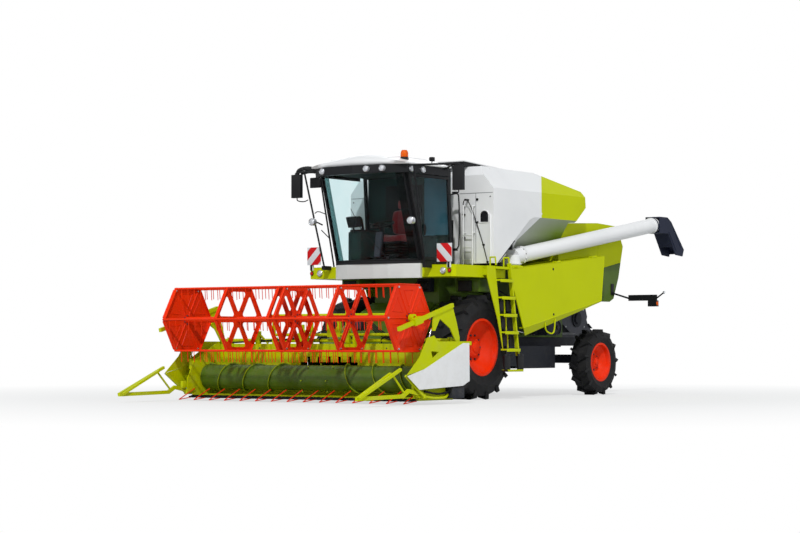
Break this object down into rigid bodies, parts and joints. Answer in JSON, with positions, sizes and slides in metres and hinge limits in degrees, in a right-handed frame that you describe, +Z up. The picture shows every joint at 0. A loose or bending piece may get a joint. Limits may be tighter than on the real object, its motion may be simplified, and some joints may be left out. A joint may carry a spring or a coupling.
{
  "type": "combine harvester",
  "caption": "Self-propelled combine harvester with a grain header, spinning reel, cab, grain tank and swinging unloading auger.",
  "frame": {"origin": "centre of the machine's footprint box, on the ground", "axes": "front faces -Y, +X is the machine's left, +Z up"},
  "size_m": [4.7, 10.9004, 3.9644],
  "materials": {
    "lime_paint": "gloss",
    "shell_green": "satin",
    "white_paint": "gloss",
    "silver_paint": "satin",
    "orange_paint": "gloss",
    "underbody_black": "satin",
    "black_frame": "satin",
    "engine_iron": "matte",
    "grey_steel": "satin",
    "chrome_rod": "polished",
    "cab_glass": "tinted, clear",
    "lamp_glass": "clear lens over a bright reflector",
    "amber_lens": "translucent",
    "black_plastic": "matte",
    "navy_rubber": "matte",
    "seat_fabric": "woven",
    "tyre_rubber": "matte, lugged"
  },
  "bodies": {
    "chassis": {"chassis_frame": "underbody_black", "threshing_body": "shell_green", "underbody_boxes": "underbody_black", "rear_axle": "underbody_black", "side_decks": "lime_paint", "rear_hood": "lime_paint", "rear_hood_lower": "shell_green", "engine_block": "engine_iron", "tank_front": "white_paint", "tank_rear": "lime_paint", "windscreen": "cab_glass", "cab_frame": "black_frame", "lamps": "lamp_glass", "cab_visor": "black_frame", "cab_roof": "white_paint", "cab_glass": "cab_glass", "seat": "seat_fabric", "console": "black_plastic", "platform": "lime_paint", "bumper": "silver_paint", "ladder": "lime_paint", "ladder_straps": "black_plastic", "handrails": "white_paint", "mirrors": "black_frame", "beacon": "amber_lens", "warning_boards": "white_paint", "straw_chopper": "grey_steel", "rear_lamp_arms": "black_frame"},
    "feeder_header": {"feeder_house": "shell_green", "header_trough": "lime_paint", "header_shields": "white_paint", "dividers": "lime_paint", "knife_bar": "underbody_black", "crop_lifters": "orange_paint"},
    "intake_auger": {"intake_auger": "shell_green"},
    "reel_arms": {"reel_arms": "lime_paint"},
    "reel_carriers": {"reel_bearings": "lime_paint"},
    "reel": {"reel_frame": "orange_paint", "reel_bats": "orange_paint"},
    "header_barrels": {"header_lift_barrels": "lime_paint"},
    "header_rods": {"header_lift_rods": "chrome_rod"},
    "reel_rods": {"reel_lift_rods": "chrome_rod"},
    "unloader": {"unload_tube": "white_paint", "unload_spout": "navy_rubber"},
    "cab_door": {"cab_door_frame": "black_frame", "cab_door_glass": "cab_glass"},
    "tank_lid": {"tank_lid": "white_paint", "tank_lid_skirt": "black_plastic"},
    "panel_left": {"side_panel_left": "lime_paint"},
    "panel_right": {"side_panel_right": "lime_paint"},
    "knuckle_left": {"knuckle_left": "underbody_black"},
    "knuckle_right": {"knuckle_right": "underbody_black"},
    "wheel_front_left": {"rim_front_left": "orange_paint", "tyre_front_left": "tyre_rubber"},
    "wheel_front_right": {"rim_front_right": "orange_paint", "tyre_front_right": "tyre_rubber"},
    "wheel_rear_left": {"rim_rear_left": "orange_paint", "tyre_rear_left": "tyre_rubber"},
    "wheel_rear_right": {"rim_rear_right": "orange_paint", "tyre_rear_right": "tyre_rubber"}
  },
  "joints": [
    {"name": "header_lift", "type": "hinge", "parent": "chassis", "child": "feeder_header", "pos_m": [0, -1.18, 1.4], "axis": [-1, 0, 0], "range_deg": [0, 18]},
    {"name": "intake_auger_spin", "type": "hinge", "parent": "feeder_header", "child": "intake_auger", "pos_m": [0, -3.47, 0.372], "axis": [1, 0, 0], "continuous": true},
    {"name": "reel_lift", "type": "hinge", "parent": "feeder_header", "child": "reel_arms", "pos_m": [0, -2.97, 0.95], "axis": [-1, 0, 0], "range_deg": [0, 24]},
    {"name": "reel_reach", "type": "slide", "parent": "reel_arms", "child": "reel_carriers", "axis": [0, -0.9666, -0.2562], "range_m": [0, 0.28]},
    {"name": "reel_spin", "type": "hinge", "parent": "reel_carriers", "child": "reel", "pos_m": [0, -4.031, 1.276], "axis": [1, 0, 0], "continuous": true},
    {"name": "header_cylinder_tilt", "type": "hinge", "parent": "chassis", "child": "header_barrels", "pos_m": [0, -1.1, 0.69], "axis": [-1, 0, 0], "range_deg": [0, 18]},
    {"name": "header_cylinder_stroke", "type": "slide", "parent": "header_barrels", "child": "header_rods", "axis": [0, -0.9688, -0.248], "range_m": [0, 0.23]},
    {"name": "reel_cylinder_stroke", "type": "slide", "parent": "feeder_header", "child": "reel_rods", "axis": [0, 0.4213, 0.9069], "range_m": [0, 0.28]},
    {"name": "unloader_swing", "type": "hinge", "parent": "chassis", "child": "unloader", "pos_m": [1.29, 0.15, 2.33], "axis": [0, 0, -1], "range_deg": [0, 100]},
    {"name": "cab_door_hinge", "type": "hinge", "parent": "chassis", "child": "cab_door", "pos_m": [0.87, -1.01, 2.235], "axis": [0, -0.0592, 0.9982], "range_deg": [0, 75]},
    {"name": "tank_lid_hinge", "type": "hinge", "parent": "chassis", "child": "tank_lid", "pos_m": [0, 0.579, 3.811], "axis": [-1, 0, 0], "range_deg": [0, 60]},
    {"name": "panel_left_hinge", "type": "hinge", "parent": "chassis", "child": "panel_left", "pos_m": [1.493, -0.29, 2.114], "axis": [0, -0.9946, -0.1033], "range_deg": [0, 70]},
    {"name": "panel_right_hinge", "type": "hinge", "parent": "chassis", "child": "panel_right", "pos_m": [-1.493, -0.29, 2.114], "axis": [0, 0.9946, 0.1033], "range_deg": [0, 70]},
    {"name": "steer_left", "type": "hinge", "parent": "chassis", "child": "knuckle_left", "pos_m": [0.86, 2.936, 0.576], "axis": [0, 0, 1], "range_deg": [-38, 38]},
    {"name": "steer_right", "type": "hinge", "parent": "chassis", "child": "knuckle_right", "pos_m": [-0.86, 2.936, 0.576], "axis": [0, 0, 1], "range_deg": [-38, 38]},
    {"name": "wheel_spin_front_left", "type": "hinge", "parent": "chassis", "child": "wheel_front_left", "pos_m": [0, -0.85, 0.841], "axis": [1, 0, 0], "continuous": true},
    {"name": "wheel_spin_front_right", "type": "hinge", "parent": "chassis", "child": "wheel_front_right", "pos_m": [0, -0.85, 0.841], "axis": [1, 0, 0], "continuous": true},
    {"name": "wheel_spin_rear_left", "type": "hinge", "parent": "knuckle_left", "child": "wheel_rear_left", "pos_m": [0, 2.936, 0.576], "axis": [1, 0, 0], "continuous": true},
    {"name": "wheel_spin_rear_right", "type": "hinge", "parent": "knuckle_right", "child": "wheel_rear_right", "pos_m": [0, 2.936, 0.576], "axis": [1, 0, 0], "continuous": true}
  ],
  "couplings": [
    {"joint": "steer_right", "follows": "steer_left", "ratio": 1},
    {"joint": "header_cylinder_tilt", "follows": "header_lift", "ratio": 0.995},
    {"joint": "header_cylinder_stroke", "follows": "header_lift", "m_per_rad": 0.711},
    {"joint": "reel_cylinder_stroke", "follows": "reel_lift", "m_per_rad": 0.654}
  ]
}
